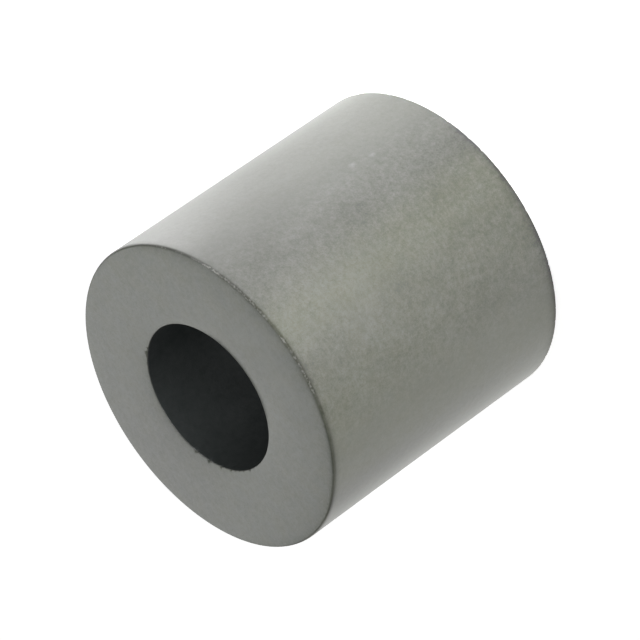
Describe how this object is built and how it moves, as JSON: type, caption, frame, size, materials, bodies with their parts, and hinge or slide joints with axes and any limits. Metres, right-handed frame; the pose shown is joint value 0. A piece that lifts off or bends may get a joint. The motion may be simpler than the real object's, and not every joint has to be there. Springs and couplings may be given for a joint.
{
  "type": "ferrite sleeve",
  "caption": "Plain round ferrite sleeve with a straight through bore, slipped over a cable or lead to suppress high-frequency interference.",
  "frame": {"origin": "centre of the bore on the lower end face, the face that the sleeve stands on", "axes": "+Z along the bore's axis, from the lower end face to the upper one; X and Y are any two directions across it"},
  "size_m": [0.0144, 0.0144, 0.0138],
  "materials": {
    "ferrite": "sintered ferrite, satin and uncoated, with a tumbled wall and ground end faces"
  },
  "bodies": {
    "root": {"ferrite_sleeve": "ferrite"}
  },
  "joints": []
}
